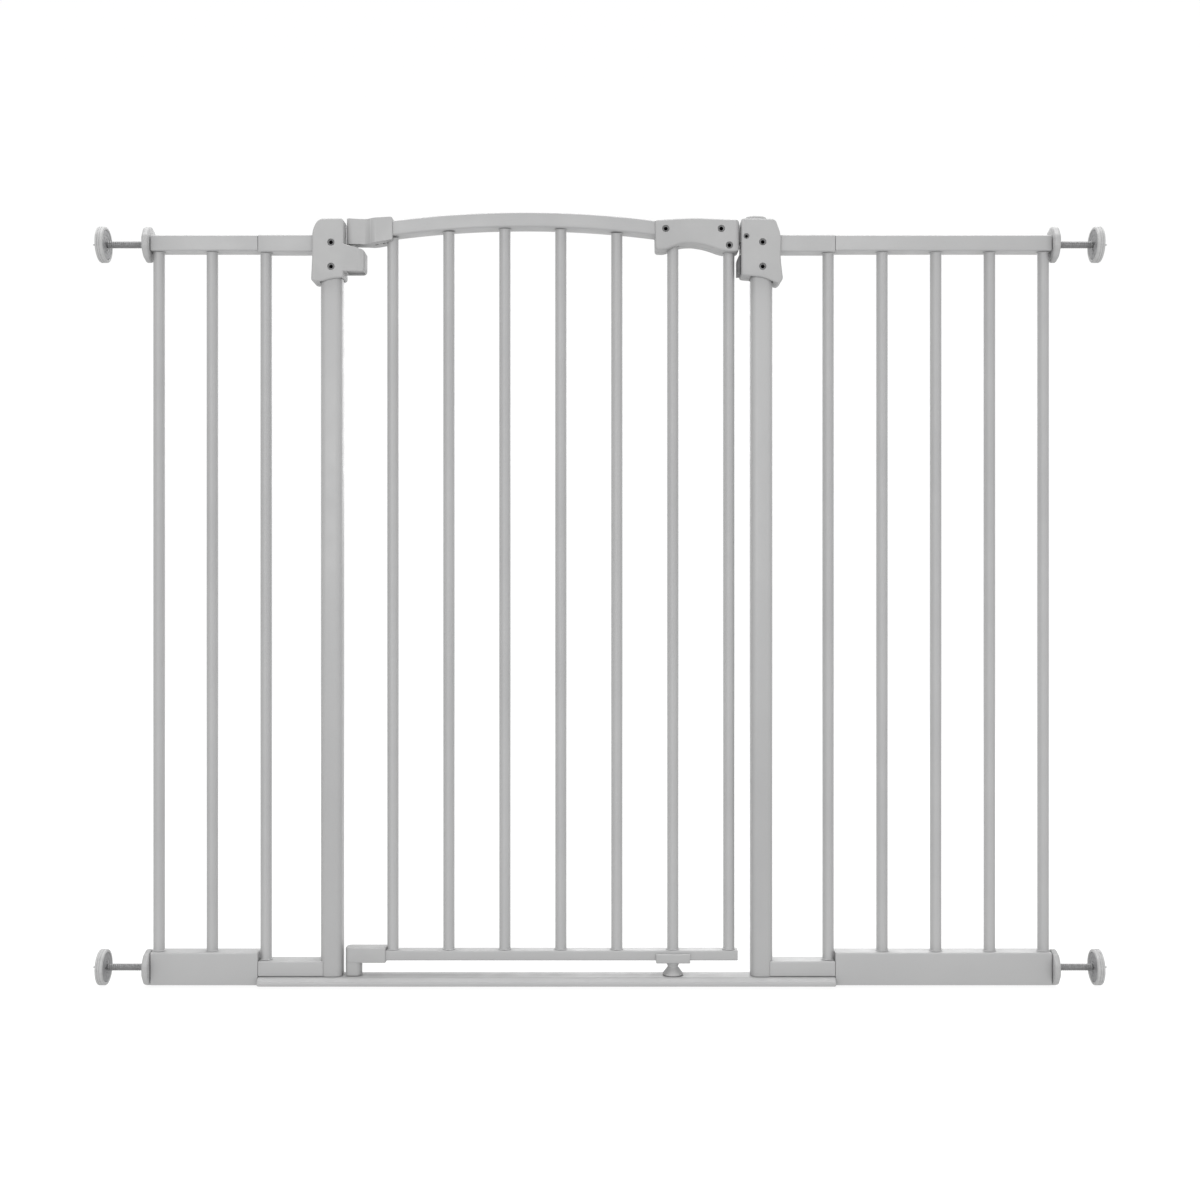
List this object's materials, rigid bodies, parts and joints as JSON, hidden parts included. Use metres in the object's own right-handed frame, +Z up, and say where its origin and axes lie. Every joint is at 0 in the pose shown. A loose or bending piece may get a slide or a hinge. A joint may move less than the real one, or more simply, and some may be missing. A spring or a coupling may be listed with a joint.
{
  "type": "safety baby gate",
  "caption": "Pressure-mounted metal safety gate with an arched swing door, a latch handle, screw-out wall pads and bar extensions on both sides.",
  "frame": {"origin": "on the floor, under the middle of the gate's width and depth", "axes": "+X along the opening from the hinge side to the latch side, -Y towards the viewer, +Z up"},
  "size_m": [0.994, 0.035, 0.755],
  "materials": {
    "painted_steel": "satin light grey powder coat",
    "moulded_plastic": "fine-grained light grey moulding",
    "pad_rubber": "soft light grey rubber",
    "dark_plastic": "dark grey moulding",
    "spindle_steel": "rolled thread, dull zinc",
    "screw_steel": "dull zinc cross-head"
  },
  "bodies": {
    "frame": {"hinge_housing_back": "moulded_plastic", "hinge_housing_front": "moulded_plastic", "hinge_housing_screw_1": "screw_steel", "hinge_housing_screw_2": "screw_steel", "latch_housing_back": "moulded_plastic", "latch_housing_front": "moulded_plastic", "latch_housing_screw_1": "screw_steel", "latch_housing_screw_2": "screw_steel", "latch_housing_screw_3": "screw_steel", "left_extension_bar_1": "painted_steel", "left_extension_bar_2": "painted_steel", "left_extension_bottom_rail": "painted_steel", "left_extension_top_rail": "painted_steel", "left_post": "painted_steel", "left_stub_bar_1": "painted_steel", "left_stub_bottom_rail": "painted_steel", "left_stub_top_rail": "painted_steel", "right_extension_bar_1": "painted_steel", "right_extension_bar_2": "painted_steel", "right_extension_bar_3": "painted_steel", "right_extension_bar_4": "painted_steel", "right_extension_bottom_rail": "painted_steel", "right_extension_top_rail": "painted_steel", "right_post": "painted_steel", "right_stub_bar_1": "painted_steel", "right_stub_bottom_rail": "painted_steel", "right_stub_top_rail": "painted_steel", "strike_plate": "dark_plastic", "threshold": "painted_steel"},
    "door": {"door_bar_1": "painted_steel", "door_bar_2": "painted_steel", "door_bar_3": "painted_steel", "door_bar_4": "painted_steel", "door_bar_5": "painted_steel", "door_bar_6": "painted_steel", "door_bar_7": "painted_steel", "door_bottom_rail": "painted_steel", "door_stop": "moulded_plastic", "door_top_rail": "painted_steel", "handle_back": "moulded_plastic", "handle_front": "moulded_plastic", "handle_screw_1": "screw_steel", "handle_screw_2": "screw_steel", "handle_screw_3": "screw_steel", "hinge_knuckle": "moulded_plastic", "lower_hinge_bracket": "moulded_plastic"},
    "latch": {"latch_slider": "moulded_plastic"},
    "button": {"lock_button": "moulded_plastic"},
    "top_left_wheel_body": {"top_left_wheel": "moulded_plastic"},
    "top_left_spindle_body": {"top_left_spindle": "spindle_steel", "top_left_pad": "pad_rubber"},
    "bottom_left_wheel_body": {"bottom_left_wheel": "moulded_plastic"},
    "bottom_left_spindle_body": {"bottom_left_spindle": "spindle_steel", "bottom_left_pad": "pad_rubber"},
    "top_right_wheel_body": {"top_right_wheel": "moulded_plastic"},
    "top_right_spindle_body": {"top_right_spindle": "spindle_steel", "top_right_pad": "pad_rubber"},
    "bottom_right_wheel_body": {"bottom_right_wheel": "moulded_plastic"},
    "bottom_right_spindle_body": {"bottom_right_spindle": "spindle_steel", "bottom_right_pad": "pad_rubber"}
  },
  "joints": [
    {"name": "door_swing", "type": "hinge", "parent": "frame", "child": "door", "pos_m": [-0.2411, 0, 0.02], "axis": [0, 0, 1], "range_deg": [-90, 90]},
    {"name": "latch_slide", "type": "slide", "parent": "door", "child": "latch", "axis": [-1, 0, 0], "range_m": [0, 0.008], "stiffness_N_per_m": 300, "springref_m": -0.004},
    {"name": "lock_button_press", "type": "slide", "parent": "frame", "child": "button", "axis": [0, 0, -1], "range_m": [0, 0.003], "stiffness_N_per_m": 300, "springref_m": -0.003},
    {"name": "top_left_spindle_slide", "type": "slide", "parent": "frame", "child": "top_left_spindle_body", "axis": [-1, 0, 0], "range_m": [-0.01, 0.01]},
    {"name": "top_left_wheel_turn", "type": "hinge", "parent": "frame", "child": "top_left_wheel_body", "pos_m": [-0.4438, 0, 0.7255], "axis": [-1, 0, 0], "range_deg": [-1801, 1801]},
    {"name": "bottom_left_spindle_slide", "type": "slide", "parent": "frame", "child": "bottom_left_spindle_body", "axis": [-1, 0, 0], "range_m": [-0.01, 0.01]},
    {"name": "bottom_left_wheel_turn", "type": "hinge", "parent": "frame", "child": "bottom_left_wheel_body", "pos_m": [-0.4438, 0, 0.0178], "axis": [-1, 0, 0], "range_deg": [-1801, 1801]},
    {"name": "top_right_spindle_slide", "type": "slide", "parent": "frame", "child": "top_right_spindle_body", "axis": [1, 0, 0], "range_m": [-0.01, 0.01]},
    {"name": "top_right_wheel_turn", "type": "hinge", "parent": "frame", "child": "top_right_wheel_body", "pos_m": [0.4438, 0, 0.7255], "axis": [1, 0, 0], "range_deg": [-1801, 1801]},
    {"name": "bottom_right_spindle_slide", "type": "slide", "parent": "frame", "child": "bottom_right_spindle_body", "axis": [1, 0, 0], "range_m": [-0.01, 0.01]},
    {"name": "bottom_right_wheel_turn", "type": "hinge", "parent": "frame", "child": "bottom_right_wheel_body", "pos_m": [0.4438, 0, 0.0178], "axis": [1, 0, 0], "range_deg": [-1801, 1801]}
  ],
  "couplings": [
    {"joint": "top_left_wheel_turn", "follows": "top_left_spindle_slide", "rad_per_m": 3141.6},
    {"joint": "bottom_left_wheel_turn", "follows": "bottom_left_spindle_slide", "rad_per_m": 3141.6},
    {"joint": "top_right_wheel_turn", "follows": "top_right_spindle_slide", "rad_per_m": 3141.6},
    {"joint": "bottom_right_wheel_turn", "follows": "bottom_right_spindle_slide", "rad_per_m": 3141.6}
  ]
}
